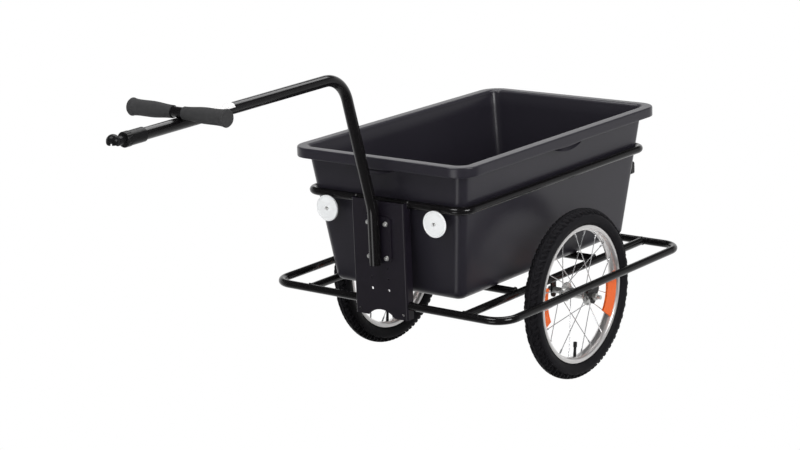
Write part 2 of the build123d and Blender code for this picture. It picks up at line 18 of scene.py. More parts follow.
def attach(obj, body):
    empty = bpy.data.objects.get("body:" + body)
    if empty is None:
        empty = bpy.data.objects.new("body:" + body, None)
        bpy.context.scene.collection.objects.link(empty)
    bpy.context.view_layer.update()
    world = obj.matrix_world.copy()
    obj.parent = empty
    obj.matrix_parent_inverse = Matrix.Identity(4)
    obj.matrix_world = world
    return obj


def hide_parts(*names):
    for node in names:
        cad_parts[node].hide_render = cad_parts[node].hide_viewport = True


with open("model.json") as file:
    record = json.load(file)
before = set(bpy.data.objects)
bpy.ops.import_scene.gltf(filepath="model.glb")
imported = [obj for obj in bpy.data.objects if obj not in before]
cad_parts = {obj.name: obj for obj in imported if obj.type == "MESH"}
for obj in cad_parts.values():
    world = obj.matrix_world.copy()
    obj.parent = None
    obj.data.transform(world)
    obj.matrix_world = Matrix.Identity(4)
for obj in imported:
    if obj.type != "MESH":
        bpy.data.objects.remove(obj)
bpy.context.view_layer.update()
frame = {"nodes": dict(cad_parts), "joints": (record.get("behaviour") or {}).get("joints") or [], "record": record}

mm = 0.001

# %% [markdown]
# ## The trailer's own axes
# The real trailer has no stand. Let go, it tips forward about its axle until the two feet of its
# front plate meet the floor, and so it is stored. Its pieces are far easier to draw level, so
# each one is worked out in the trailer's own axes: x forward, y to its left and z up, counted
# from the floor under the axle when it stands level. The floor of the tub was flat then, so its
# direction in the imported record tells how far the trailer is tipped.

# %% From level to parked
mounts = {mount["name"]: mount for mount in frame["record"]["mounts"]}
joints = {joint["name"]: joint for joint in frame["joints"]}
left_hub = np.array(joints["left_wheel_spin"]["pos_m"])
axle_line = left_hub * [1, 0, 1]
wheel_y = left_hub[1]
right_wheel_shift = wheel_y + joints["right_wheel_spin"]["pos_m"][1]
axle_height = left_hub[2]
upward = np.array(mounts["tub_floor"]["axis"])
forward = np.array([upward[2], 0, -upward[0]])
sideways = np.array([0.0, 1.0, 0.0])


def turn(directions):
    """Level directions as parked: x times forward, y times sideways and z times upward."""
    d = np.asarray(directions, float)
    return d[..., :1] * forward + d[..., 1:2] * sideways + d[..., 2:] * upward


def place(points):
    """Level points as parked: their distance from the axle is turned, and the axle stays."""
    return axle_line + turn(np.asarray(points, float) - [0, 0, axle_height])


def level_span(node):
    """Lowest and highest level corner of a solid: dot products with the three directions."""
    mesh = frame["nodes"][node].data
    flat = np.empty(len(mesh.vertices) * 3)
    mesh.vertices.foreach_get("co", flat)
    level = (flat.reshape(-1, 3) - axle_line) @ np.stack([forward, sideways, upward], axis=1)
    level[:, 2] += axle_height
    return level.min(axis=0), level.max(axis=0)


def level_box(node):
    """Middle and half size of a solid in the level directions."""
    low, high = level_span(node)
    return (low + high) / 2, (high - low) / 2


print("tipped by", round(math.degrees(math.asin(upward[0])), 2), "degrees")

# %% [markdown]
# ## The camera
# The camera keeps its view of the trailer: seen from the front and the left, from a little above,
# with a long lens. It is set up in the level axes too, so that it tips with the trailer. A camera
# that tips forward this far ends up below the floor, which is why the floor is drawn from above
# only, further down.

# %% Set up the camera
# angles in radians, lengths in metres, the lens and its sensor in millimetres
view_azimuth, view_rise, view_roll, view_distance = 0.67663, 0.24696, -0.04185, 4.85855
view_target = np.array([0.305235, 0, 0.409468])
back = np.array([math.cos(view_azimuth) * math.cos(view_rise),
                 math.sin(view_azimuth) * math.cos(view_rise), math.sin(view_rise)])
eye = view_target + view_distance * back
right = np.cross(-back, [0, 0, 1])
right /= np.linalg.norm(right)
above = np.cross(right, -back)
rolled_right = math.cos(view_roll) * right + math.sin(view_roll) * above
rolled_up = math.cos(view_roll) * above - math.sin(view_roll) * right

camera = bpy.data.objects.new("camera", bpy.data.cameras.new("camera"))
bpy.context.scene.collection.objects.link(camera)
camera_axes = np.eye(4)
camera_axes[:3, :3] = turn(np.stack([rolled_right, rolled_up, back])).T
camera_axes[:3, 3] = place(eye)
camera.matrix_world = Matrix(camera_axes.tolist())
camera.data.sensor_width = 36.0
camera.data.lens = 98.425
camera.data.shift_x = 0.00973
camera.data.shift_y = -0.01022
camera.data.clip_end = 60.0
bpy.context.scene.camera = camera
bpy.context.scene.view_settings.view_transform = "Standard"
print("camera at", [round(float(v), 3) for v in place(eye)])

# %% [markdown]
# ## Writing shaders as sums
# A material is a small program drawn as boxes and wires. Drawing many Math boxes by hand is slow
# to read, so this class wraps one output socket and lets plus and times add the Math boxes.
# Everything else comes from one method that takes a box's type, its settings and its inputs, and
# the boxes that come back often get a short method of their own.

# %% One class for a wire, one for a finish
class Wire:
    """The output of one shader node; arithmetic on it adds Math nodes."""

    def __init__(self, finish, socket):
        self.finish, self.socket = finish, socket

    def _math(self, operation, other):
        return self.finish.node("ShaderNodeMath", {"operation": operation}, {0: self, 1: other})

    def __add__(self, other):
        return self._math("ADD", other)

    def __mul__(self, other):
        return self._math("MULTIPLY", other)

    __radd__, __rmul__ = __add__, __mul__


class Finish:
    """One material on the Principled shader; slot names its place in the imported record."""

    def __init__(self, name, slot=None, **sockets):
        self.material = bpy.data.materials.new(name)
        self.material.use_nodes = True
        self.slot = slot or name
        self.nodes, self.links = self.material.node_tree.nodes, self.material.node_tree.links
        self.shader = self.nodes["Principled BSDF"]
        self.output = self.nodes["Material Output"]
        self.set(**sockets)

    def node(self, kind, settings=None, inputs=None, output=0):
        """Adds a node of any type: its settings first, then a value or a wire for each input."""
        made = self.nodes.new(kind)
        for key, value in (settings or {}).items():
            setattr(made, key, value)
        for key, value in (inputs or {}).items():
            self.join(value, made.inputs[key])
        return Wire(self, made.outputs[output])

    def join(self, value, socket):
        if isinstance(value, Wire):
            self.links.new(value.socket, socket)
        elif hasattr(value, "__len__") and len(value) == 3 and socket.type == "RGBA":
            socket.default_value = (*value, 1)
        else:
            socket.default_value = value

    def set(self, **sockets):
        """Sets sockets of the shader: base_color stands for Base Color, and so on."""
        for key, value in sockets.items():
            name = key.replace("_", " ").title().replace("Ior", "IOR")
            self.join(value, self.shader.inputs[name])

    def place_on(self, centre=(0, 0, 0)):
        """Object coordinates in metres, counted from centre."""
        where = self.node("ShaderNodeTexCoord", output="Object")
        return self.node("ShaderNodeMapping", None,
                         {"Vector": where, "Location": tuple(-float(v) for v in centre)})

    def noise(self, where, scale, detail=2.0, roughness=0.5):
        return self.node("ShaderNodeTexNoise", None,
                         {"Vector": where, "Scale": scale, "Detail": detail,
                          "Roughness": roughness})

    def dot(self, where, direction):
        """How far the coordinates reach in a direction: their dot product."""
        return self.node("ShaderNodeVectorMath", {"operation": "DOT_PRODUCT"},
                         {0: where, 1: tuple(float(v) for v in direction)}, output="Value")

    def step(self, value, low, high, slope="LINEAR"):
        """0 below low, 1 above high, and between them an even slope or a SMOOTHSTEP."""
        return self.node("ShaderNodeMapRange", {"interpolation_type": slope},
                         {"Value": value, "From Min": low, "From Max": high})

    def mix(self, factor, first, second):
        """A blend of two colours: first where factor is 0, second where it is 1."""
        return self.node("ShaderNodeMix", {"data_type": "RGBA"},
                         {0: factor, 6: first, 7: second}, output=2)

    def blend(self, factor, first, second):
        """The same for two shaders."""
        return self.node("ShaderNodeMixShader", None, {0: factor, 1: first, 2: second})

    def ray(self, kind):
        """1 for rays of one kind, such as Camera or Glossy, and 0 for all others."""
        return self.node("ShaderNodeLightPath", output="Is " + kind + " Ray")

    def bump(self, height, depth, distance):
        self.set(normal=self.node("ShaderNodeBump", None,
                                  {"Height": height, "Strength": depth, "Distance": distance}))

    def end(self, shader):
        """Joins a shader to the output, in place of the one there."""
        self.links.new(shader.socket, self.output.inputs["Surface"])


# %% [markdown]
# ## From arrays to a mesh
# A surface is a list of points and a list of the corners of each face. It could be built by
# hand, but a shape that depends on two numbers, such as how far round and how far along, gives
# its points as one whole array, and the faces of the grid between them follow by counting. That
# is quick, and the formula stays readable. Every new piece below is such a grid.

# %% Point grids and pieces
def grid(points, close_rows=False, close_columns=False):
    """Quads over a (rows, columns, 3) array; either direction may join back on itself."""
    rows, columns = points.shape[:2]
    i = np.arange(rows if close_rows else rows - 1)[:, None]
    j = np.arange(columns if close_columns else columns - 1)
    at = lambda a, b: (a % rows) * columns + (b % columns)
    quads = np.stack([at(i, j), at(i, j + 1), at(i + 1, j + 1), at(i + 1, j)], axis=-1)
    return points.reshape(-1, 3), quads.reshape(-1, 4)


def together(shapes):
    """Several shapes as one: their points in a row, their faces counted on."""
    starts = np.cumsum([0] + [len(points) for points, _ in shapes[:-1]])
    return (np.concatenate([points for points, _ in shapes]),
            np.concatenate([quads + start for (_, quads), start in zip(shapes, starts)]))


# metres
merge_gap, shortest_edge = 2e-6, 1e-6


def make_piece(name, shape, finish, stands_for=None, body="frame", crease=34.0):
    """A named object from level points: placed, doubles merged, normals outward, shaded smooth."""
    points, quads = shape
    mesh = bpy.data.meshes.new(name)
    mesh.vertices.add(len(points))
    mesh.vertices.foreach_set("co", place(points).astype(np.float32).ravel())
    mesh.loops.add(quads.size)
    mesh.loops.foreach_set("vertex_index", quads.astype(np.int32).ravel())
    mesh.polygons.add(len(quads))
    mesh.polygons.foreach_set("loop_start", np.arange(0, quads.size, 4, dtype=np.int32))
    mesh.update(calc_edges=True)
    cleaned = bmesh.new()
    cleaned.from_mesh(mesh)
    bmesh.ops.remove_doubles(cleaned, verts=cleaned.verts, dist=merge_gap)
    bmesh.ops.dissolve_degenerate(cleaned, dist=shortest_edge, edges=cleaned.edges)
    bmesh.ops.recalc_face_normals(cleaned, faces=cleaned.faces)
    cleaned.to_mesh(mesh)
    cleaned.free()
    mesh.shade_smooth()
    mesh.set_sharp_from_angle(angle=math.radians(crease))
    mesh.materials.append(finish.material)
    made = bpy.data.objects.new(name, mesh)
    bpy.context.scene.collection.objects.link(made)
    if stands_for:
        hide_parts(stands_for)
    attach(made, body)
    print(name, len(mesh.polygons), "faces")


# %% Spun and carried shapes
def full_turn(steps):
    return np.linspace(0, 2 * np.pi, steps, endpoint=False)


def directions_round(along, start, steps):
    """Unit directions round a line: cos t * across + sin t * other, in even steps from start."""
    along, across = np.asarray(along, float), np.asarray(start, float)
    across = across - along * (across @ along)
    across /= np.linalg.norm(across)
    t = full_turn(steps)[:, None]
    return np.cos(t) * across + np.sin(t) * np.cross(along, across)


def turned(profile, centre, along, steps, start=(0, 0, 1)):
    """A closed profile of (radius, offset) corners in millimetres, spun about a line.

    Each point is centre + offset * along + radius * the direction round the line.
    """
    radius, offset = (np.array(profile, float) * mm).T[:, None, :, None]
    ring = directions_round(along, start, steps)[:, None]
    return grid(centre + offset * along + radius * ring, True)


def carried(path, radius, side, steps, closed=False):
    """A round section carried along a path, with its own radius at each point.

    Each ring lies across the path's direction, started from the given side direction, and the
    open ends close to a point.
    """
    if closed:
        tangent = np.roll(path, -1, axis=0) - np.roll(path, 1, axis=0)
    else:
        tangent = np.gradient(path, axis=0)
    tangent /= np.linalg.norm(tangent, axis=1)[:, None]
    first = np.cross(tangent, side)
    first /= np.linalg.norm(first, axis=1)[:, None]
    second = np.cross(tangent, first)
    t = full_turn(steps)[None, :, None]
    around = np.cos(t) * first[:, None] + np.sin(t) * second[:, None]
    rings = path[:, None] + radius[:, None, None] * around
    if not closed:
        caps = np.repeat(path[[0, -1], None], steps, axis=1)
        rings = np.concatenate([caps[:1], rings, caps[1:]])
    return grid(rings, closed, True)


# %% [markdown]
# ## Floor, room and lamps
# The trailer stands in a plain white room, on a floor that is drawn from above only and lets
# shadow rays and mirrored rays through. A black thing shows mostly what it mirrors, so mirrored
# rays meet a room of their own: white beyond the trailer, dim in front of it and overhead, and
# with one bright strip low ahead, which gives the glossy tubes their long highlights. All other
# rays meet an even soft light. Three lamps of one to four square metres add soft shadows, as
# soft boxes do in a studio: one high in front, one at the left side and one above the back.

# %% Floor
reach = 9.0
floor_mesh = bpy.data.meshes.new("floor")
floor_mesh.from_pydata([(-reach, -reach, 0), (reach, -reach, 0), (reach, reach, 0),
                        (-reach, reach, 0)], [], [(0, 1, 2, 3)])
floor = bpy.data.objects.new("floor", floor_mesh)
bpy.context.scene.collection.objects.link(floor)

cover = Finish("floor_white", base_color=(0.86, 0.86, 0.86), roughness=0.9,
               specular_ior_level=0.1)
from_below = cover.node("ShaderNodeNewGeometry", output="Backfacing")
let_through = from_below * cover.ray("Camera") + cover.ray("Shadow") + cover.ray("Glossy")
cover.end(cover.blend(let_through, Wire(cover, cover.shader.outputs[0]),
                      cover.node("ShaderNodeBsdfTransparent")))
floor_mesh.materials.append(cover.material)
print("floor", 2 * reach, "m square")


# %% Room
class Room(Finish):
    """The world's node tree, with the same helpers as a finish."""

    def __init__(self, name):
        self.material = bpy.data.worlds.new(name)
        self.material.use_nodes = True
        self.nodes, self.links = self.material.node_tree.nodes, self.material.node_tree.links
        self.nodes.clear()
        self.output = self.nodes.new("ShaderNodeOutputWorld")

    def white(self, strength):
        return self.node("ShaderNodeBackground", None, {"Color": (1, 1, 1), "Strength": strength})


room = Room("white_room")
toward = room.node("ShaderNodeTexCoord", output="Generated")
behind = room.step(room.dot(toward, turn(-back)), -0.30, 0.94, "SMOOTHSTEP")
overhead = room.step(room.dot(toward, upward), 0.30, 0.52, "SMOOTHSTEP")
strip_dip = math.radians(18)
strip_middle = turn((math.cos(strip_dip), 0, -math.sin(strip_dip)))
in_strip = room.step(room.dot(toward, strip_middle), 0.945, 0.985, "SMOOTHSTEP")
soft_light, white_back, dim, bright_strip = (room.white(v) for v in (0.55, 1.0, 0.06, 2.4))
mirrored_room = room.blend(behind, room.blend(in_strip, dim, bright_strip),
                           room.blend(overhead, white_back, dim))
mirrors = room.ray("Glossy") + room.ray("Transmission")
room.end(room.blend(room.ray("Camera"), room.blend(mirrors, soft_light, mirrored_room), white_back))
bpy.context.scene.world = room.material
print("room of", len(room.nodes), "nodes")

# %% Lamps
lamp_target = np.array([0.1, 0, 0.35])


def lamp(name, azimuth, rise, distance, width, height, watts):
    """An area lamp at a level azimuth and rise round the trailer, turned to face it."""
    a, e = math.radians(azimuth), math.radians(rise)
    out = np.array([math.cos(a) * math.cos(e), math.sin(a) * math.cos(e), math.sin(e)])
    level_right = np.cross(-out, [0, 0, 1])
    level_right /= np.linalg.norm(level_right)
    data = bpy.data.lights.new(name, "AREA")
    data.shape, data.size, data.size_y, data.energy = "RECTANGLE", width, height, watts
    made = bpy.data.objects.new(name, data)
    axes = np.eye(4)
    axes[:3, :3] = turn(np.stack([level_right, np.cross(level_right, -out), out])).T
    axes[:3, 3] = place(lamp_target + distance * out)
    made.matrix_world = Matrix(axes.tolist())
    bpy.context.scene.collection.objects.link(made)
    print(name, watts, "W at", [round(float(v), 2) for v in axes[:3, 3]])


lamp("front_box", -9, 52, 2.8, 1.4, 0.9, 26)
lamp("side_box", 78, 24, 2.8, 1.2, 0.9, 34)
lamp("top_box", 200, 72, 2.4, 2.2, 1.6, 40)

# %% [markdown]
# ## Finishes
# Black is not one colour here. The tub is charcoal plastic with a soft sheen, the tubes are
# glossy powder coat, the plates a duller, bluer coat, the foam and the rubber are dull. Each
# finish has its own fine structure in the Normal, and a roughness that wanders a little, because
# nothing real is polished the same all over. Patterns read the trailer's own coordinates in
# metres, so a scale of 1000 means millimetres. Most of them are two noises, one for wide patches
# and one for grain, so one function makes them all.

# %% Plastic, paint and metal
def patchy(name, colours, patch, grain=None, *, roughness, relief=(0.10, 0.0002),
           centre=(0, 0, 0), slot=None, **sockets):
    """A finish that wanders in patches, over a grain in its surface.

    patch and grain are scale, detail and roughness of two noises. The colour is a mix of two by
    the patches, and roughness its first number + its second * patch + its third * grain. The
    grain is the height of a bump, and relief is the bump's strength and its depth in metres.
    """
    finish = Finish(name, slot, **sockets)
    here = finish.place_on(centre)
    noises = [finish.noise(here, *settings) for settings in (patch, grain) if settings]
    wandering = (share * noise for share, noise in zip(roughness[1:], noises))
    finish.set(roughness=sum(wandering, roughness[0]))
    if colours:
        finish.set(base_color=finish.mix(noises[0], *colours))
    if grain:
        finish.bump(noises[1], *relief)
    return finish


tub_plastic = patchy("tub_plastic", ((0.0140, 0.0127, 0.0180), (0.0185, 0.0168, 0.0235)),
                     (5.0, 3.0), (1300.0, 2.0, 0.6), roughness=(0.25, 0.05, 0.05),
                     relief=(0.12, 0.0002), specular_ior_level=0.5, ior=1.47)
frame_paint = patchy("frame_paint", ((0.0036, 0.0033, 0.0036), (0.0050, 0.0046, 0.0050)),
                     (9.0,), (420.0,), roughness=(0.13, 0.07), relief=(0.10, 0.0003), ior=1.45)
plate_paint = patchy("plate_paint", ((0.0075, 0.0058, 0.0100), (0.0095, 0.0074, 0.0125)),
                     (14.0,), (700.0, 2.0, 0.6), roughness=(0.28, 0.10),
                     relief=(0.22, 0.0003), ior=1.45)
coupling_black = patchy("coupling_black", None, (60.0,), (500.0,), roughness=(0.26, 0.10),
                        relief=(0.08, 0.0002), ior=1.45, specular_ior_level=0.2,
                        base_color=(0.006, 0.006, 0.0065))
zinc_steel = patchy("zinc_steel", ((0.60, 0.60, 0.59), (0.82, 0.82, 0.80)),
                    (260.0, 3.0), (1500.0,), roughness=(0.22, 0.20), metallic=0.88)
spoke_steel = patchy("spoke_steel", ((0.66, 0.66, 0.67), (0.80, 0.80, 0.81)),
                     (90.0,), roughness=(0.18, 0.14), slot="zinc_steel", metallic=0.75)
tyre_rubber = patchy("tyre_rubber", ((0.0075, 0.0072, 0.0088), (0.0150, 0.0143, 0.0165)),
                     (46.0, 4.0, 0.6), (900.0,), roughness=(0.50, 0.18),
                     relief=(0.22, 0.0003), centre=axle_line, specular_ior_level=0.08)
valve_black = patchy("valve_black", None, (300.0,), roughness=(0.42, 0.20),
                     base_color=(0.012, 0.012, 0.012), specular_ior_level=0.4)
housing_black = patchy("housing_black", None, (200.0,), roughness=(0.36, 0.10),
                       base_color=(0.010, 0.009, 0.010))
print(len(bpy.data.materials), "finishes so far")

# %% [markdown]
# ## Turned alloy and foam
# Two finishes need more than patches. The rim was turned on a lathe, which leaves fine lines
# round the axle: a noise that reads nothing but the distance from the axle draws them. The
# grips are foam, a pack of tiny bubbles, and a Voronoi pattern is just such a pack of cells.

# %% Alloy and foam
lathe_scale, foam_scale = 3800.0, 950.0
rim_alloy = Finish("rim_alloy", metallic=0.85)
here = rim_alloy.place_on(axle_line)
in_plane = rim_alloy.node("ShaderNodeVectorMath", {"operation": "MULTIPLY"},
                          {0: here, 1: (1, 0, 1)})
from_axle = rim_alloy.node("ShaderNodeVectorMath", {"operation": "LENGTH"}, {0: in_plane},
                           output="Value")
lathe = rim_alloy.node("ShaderNodeCombineXYZ", None, {0: from_axle})
lines, cloud = rim_alloy.noise(lathe, lathe_scale, 1.0), rim_alloy.noise(here, 24.0)
rim_alloy.set(base_color=rim_alloy.mix(lines, (0.84, 0.82, 0.81), (0.95, 0.94, 0.93)),
              roughness=0.24 + 0.10 * lines + 0.08 * cloud)
rim_alloy.bump(lines, 0.12, 0.0002)

grip_foam = Finish("grip_foam", specular_ior_level=0.25)
here = grip_foam.place_on()
cells = grip_foam.node("ShaderNodeTexVoronoi", None, {"Vector": here, "Scale": foam_scale},
                       output="Distance")
patch = grip_foam.noise(here, 120.0, 3.0)
grip_foam.set(base_color=grip_foam.mix(patch, (0.024, 0.024, 0.025), (0.040, 0.040, 0.041)),
              roughness=0.86 + 0.10 * patch)
grip_foam.bump(cells, 0.55, 0.0006)
print("lathe lines about", round(1 / lathe_scale / mm, 2), "mm apart, foam cells about",
      round(1 / foam_scale / mm, 1), "mm across")

# %% [markdown]
# ## Lenses and the sticker
# A reflector sends light back with rows of tiny corners moulded into clear plastic. Three
# families of straight grooves, 60 degrees apart, draw them: each is a sine of the distance along
# its own direction, and the bump takes the sum. The sticker on the drawbar is the same idea in
# foil, printed with nothing.

# %% Reflective finishes
def grooves(finish, here, pitch, directions):
    """Sum of one sine per direction: sin(2 pi * distance along it / pitch)."""
    waves = [finish.node("ShaderNodeMath", {"operation": "SINE"},
                         {0: finish.dot(here, direction) * (2 * math.pi / pitch)})
             for direction in directions]
    return sum(waves[1:], waves[0])


def fan(first, second, angles):
    """Parked directions in the plane of two level ones: cos a * first + sin a * second."""
    a = np.radians(angles)[:, None]
    return turn(np.cos(a) * first + np.sin(a) * second)


def lens(name, pale, deep, pitch, directions, roughness=0.10, coat=0.8, slot=None):
    """Moulded plastic: the grooves, pitch metres apart, change both its colour and its surface."""
    finish = Finish(name, slot, coat_weight=coat, coat_roughness=0.04)
    relief = grooves(finish, finish.place_on(), pitch, directions)
    share = finish.step(relief, -2.0, 2.0)
    finish.set(base_color=finish.mix(share, deep, pale), roughness=roughness + 0.10 * share)
    finish.bump(relief, 0.35, 0.0004)
    return finish


across_plate = fan((0, 1, 0), (0, 0, 1), (90, 210, 330))
in_wheel = fan((1, 0, 0), (0, 0, 1), (90, 210, 330))
on_drawbar = fan((1, 0, 0), (0, 1, 0), (0, 60, 120))
white_reflector = lens("white_reflector", (0.86, 0.87, 0.87), (0.72, 0.74, 0.75), 0.0030,
                       across_plate)
red_reflector = lens("red_reflector", (0.30, 0.010, 0.014), (0.12, 0.004, 0.008), 0.0026,
                     across_plate)
amber_reflector = lens("amber_reflector", (0.95, 0.170, 0.006), (0.66, 0.070, 0.003), 0.0028,
                       in_wheel, roughness=0.3, coat=0.0)
sticker_white = lens("sticker_white", (0.70, 0.69, 0.69), (0.62, 0.61, 0.61), 0.0034,
                     on_drawbar, roughness=0.4, coat=0.2, slot="white_reflector")
print(len(bpy.data.materials), "finishes in all")

# %% [markdown]
# ## Paint on the carried-over solids
# Tubes, plates, brackets, straps and the axle have the right shape as they are. They only take
# their finish.

# %% Dress the solids
def dress(finish, *nodes):
    """A carried-over solid keeps its shape and gets a finish."""
    for node in nodes:
        mesh = frame["nodes"][node].data
        mesh.materials.clear()
        mesh.materials.append(finish.material)
    print(finish.material.name, "on", len(nodes), "solids")


def both(node):
    return "left_" + node, "right_" + node


dress(frame_paint, "tub_ring", "lower_loop", "front_cross_tube", "rear_cross_tube", "drawbar",
      "handle_bar", *both("rail"), *both("front_reflector_strap"), *both("rear_reflector_strap"),
      *both("inner_dropout"), *both("outer_dropout"))
dress(plate_paint, "front_plate", "rear_plate", "drawbar_bracket")
dress(coupling_black, "hitch_sleeve", "hitch_cup")
dress(grip_foam, *both("grip"))
dress(zinc_steel, *both("axle"), *both("axle_nuts"))
dress(amber_reflector, *both("wheel_reflectors"))
dress(housing_black, *both("rear_reflector"))

# %% [markdown]
# ## The tub
# The real tub is one moulding: floor, four leaning walls, a flat rim with rounded edges and a
# skirt that hangs from it. In the middle of each side the skirt has a hand grip: its lower edge
# smiles, steps in, and swells out again to a lip for the fingers. Every level cut through the tub
# is a rounded rectangle. So the surface is a grid: one direction runs round such a rectangle, the
# other runs along the section, from the middle of the inside over the rim to the middle of the
# underside, and gives each rectangle its half length, half width, corner and height. Two more
# numbers per row say how far the row hangs and steps in at the middle of a grip.

# %% Sizes of the tub, from its solid
tub_low, tub_high = level_span("tub")
tub_middle_x = (tub_low[0] + tub_high[0]) / 2
rim_x, rim_y = (tub_high - tub_low)[:2] / 2
tub_floor, tub_top = tub_low[2], tub_high[2]
tub_wall, overhang, bottom_edge = 4 * mm, 26 * mm, 14 * mm
rim_corner, wall_corner, inner_corner = 50 * mm, 22 * mm, 18 * mm
lean_x, lean_y = 34.7 * mm, 42.6 * mm
inner_floor, clear_of_edge = tub_floor + tub_wall, 6 * mm
print("tub", round(2 * rim_x / mm), "by", round(2 * rim_y / mm), "mm,",
      round((tub_top - tub_floor) / mm), "mm deep")


# %% Rows of the tub's section
def wall_row(z, inset, corner):
    """Half length, half width and corner of the wall's outline at height z, set in by inset."""
    share = (tub_top - z) / (tub_top - tub_floor)
    return [rim_x - overhang - lean_x * share - inset,
            rim_y - overhang - lean_y * share - inset, corner, z, 0, 0]


def rim_row(out, below, hang=0.0, step=0.0):
    """The same for the rim: millimetres set in from its face and below its top.

    hang and step are how much lower and further in the row is at the middle of a grip.
    """
    return [rim_x - out * mm, rim_y - out * mm, rim_corner - out * mm,
            tub_top - below * mm, hang * mm, step * mm]


def edge_rows(z, inset, edge, corner, turns):
    """The bottom's rounding: a quarter circle of radius edge between the wall and the floor."""
    return [wall_row(z + edge * (1 - math.cos(t)), inset + edge * (1 - math.sin(t)),
                     max(corner - edge * (1 - math.sin(t)), 2 * mm)) for t in turns]


def flat_rows(z, shares):
    """Ever smaller outlines on the floor, down to a point in its middle."""
    a, b, c = wall_row(z, bottom_edge, 8 * mm)[:3]
    return [[a * share, b * share, c * share, z, 0, 0] for share in shares]


# %% From the floor inside, over the rim and its grips, to the floor outside
quarter = np.linspace(0, np.pi / 2, 8)
shrinking = (0, 0.3, 0.6, 0.85, 0.97)
inner_edge = bottom_edge - tub_wall
inside = flat_rows(inner_floor, shrinking)
inside += edge_rows(inner_floor, tub_wall, inner_edge, inner_corner, quarter)
inside += [wall_row(z, tub_wall, inner_corner)
           for z in np.linspace(inner_floor + inner_edge + clear_of_edge, tub_top - 11 * mm, 12)]

# the rim's rounded edges, radii in millimetres, and its outer face
radius_out, radius_in, inner_face = 3.5, 9.0, 30.2
over = [rim_row(inner_face - radius_in * (1 - math.cos(t)), radius_in * (1 - math.sin(t)))
        for t in np.linspace(0, np.pi / 2, 9)]
over += [rim_row(out, 0) for out in (16, 11, 7, radius_out)]
over += [rim_row(radius_out * (1 - math.sin(t)), radius_out * (1 - math.cos(t)))
         for t in quarter[1:]]
over += [rim_row(*row) for row in (
    (0, 6), (0, 10), (0, 14, 0.6), (0, 18, 1.8), (0, 21.8, 3), (0.4, 22.7, 3), (1.2, 23, 3),
    # the grip's hollow and its lip, which shrink to nothing beside it
    (2, 22.9, 3, 0.6), (2.2, 22.8, 2.6, 4.4), (2.3, 22.9, 4, 4.6), (2.4, 23, 6, 3.6),
    (2.5, 23, 8.2, 2), (2.6, 23, 10.2, 0.4), (2.7, 23, 11.6, -0.9), (2.8, 23, 12.6, -1.9),
    (3, 23, 13.2, -2.2), (3.3, 22.9, 13.1, -1.6), (3.6, 22.7, 12.2, -0.4),
    (3.8, 22.4, 9, 1.8), (4, 21.8, 5, 5.6),
    # the back of the skirt
    (4, 16, 0, 5), (4, 9, 0, 1.5), (5.5, 5.5), (9, 4))]

under = [wall_row(tub_top - 4 * mm, -6 * mm, 28 * mm),
         wall_row(tub_top - 4.6 * mm, -1.6 * mm, 23 * mm)]
under += [wall_row(z, 0, wall_corner) for z in
          np.linspace(tub_top - 6 * mm, tub_floor + bottom_edge + clear_of_edge, 14)]
under += edge_rows(tub_floor, 0, bottom_edge, wall_corner, quarter[::-1])
under += flat_rows(tub_floor, shrinking[::-1])
tub_rows = np.array(inside + over + under)
print(len(tub_rows), "rows from the inside to the underside")


# %% The moulded surface
def round_rectangle(half_length, half_width, corner, along, across, corner_steps=12):
    """Points round rounded rectangles, one row for each size given.

    A side runs straight between its two corner centres at the shares along or across, and each
    corner is its centre plus corner * (cos t, sin t).
    """
    a, b, c = half_length[:, None], half_width[:, None], corner[:, None]
    t = np.linspace(0, np.pi / 2, corner_steps)
    x = [(a - c) + c * np.cos(t), (a - c) * along, -(a - c) - c * np.sin(t), -a + 0 * across,
         -(a - c) - c * np.cos(t), -(a - c) * along, (a - c) + c * np.sin(t), a + 0 * across]
    y = [(b - c) + c * np.sin(t), b + 0 * along, (b - c) + c * np.cos(t), (b - c) * across,
         -(b - c) - c * np.sin(t), -b + 0 * along, -(b - c) - c * np.cos(t), -(b - c) * across]
    return np.concatenate(x, axis=1), np.concatenate(y, axis=1)


def smooth(value):
    """0 below 0, 1 above 1, and 3v^2 - 2v^3 between."""
    v = np.clip(value, 0, 1)
    return v * v * (3 - 2 * v)


grip_half = 59 * mm
middle = np.sin(np.linspace(np.pi / 2, -np.pi / 2, 49)) * grip_half
beside = np.array([0.95, 0.8, 0.6, 0.42])
shares = [np.concatenate([beside, middle / (half - rim_corner), -beside[::-1]])
          for half in (rim_x, rim_y)]
x, y = round_rectangle(*tub_rows.T[:3], *shares)
hang, step = tub_rows[:, 4:5], tub_rows[:, 5:6]
on_side = np.abs(y) > tub_rows[:, 1:2] - 1e-6
on_end = (np.abs(x) > tub_rows[:, 0:1] - 1e-6) & ~on_side
u = np.where(on_side, x, y) / grip_half
near = (on_side | on_end) * np.clip(1 - u * u, 0, 1)
z = tub_rows[:, 3:4] - hang * near
inward = step * smooth(near / 0.45)
x = x - np.sign(x) * inward * on_end
y = y - np.sign(y) * inward * on_side
tub_points = np.stack([x + tub_middle_x, y, z], axis=-1)
make_piece("moulded_tub", grid(tub_points, False, True), tub_plastic, "tub", crease=50)

# %% [markdown]
# ## The tyres
# The tyre's section is nearly a circle on the rim, and its tread has a waving rib in the middle
# and slanted blocks beside it, whose outer ends are long and short by turns. The blocks could be
# hundreds of little solids. Here the tyre stays one surface, whose distance from the middle of
# the section is a height map over two lengths in millimetres: round the wheel and across the
# tread.

# %% The tread as a height map
tyre_outer, tyre_half = level_box("left_tyre")[1][:2]
section_radius = tyre_outer - tyre_half
tread_periods = 44
print("tyre", round(2 * tyre_outer / mm), "mm across and", round(2 * tyre_half / mm), "mm wide,",
      2 * tread_periods, "blocks round each edge")


def wave(value):
    """A triangle wave between -1 and 1 with period 1."""
    return 4 * np.abs((value % 1.0) - 0.5) - 1


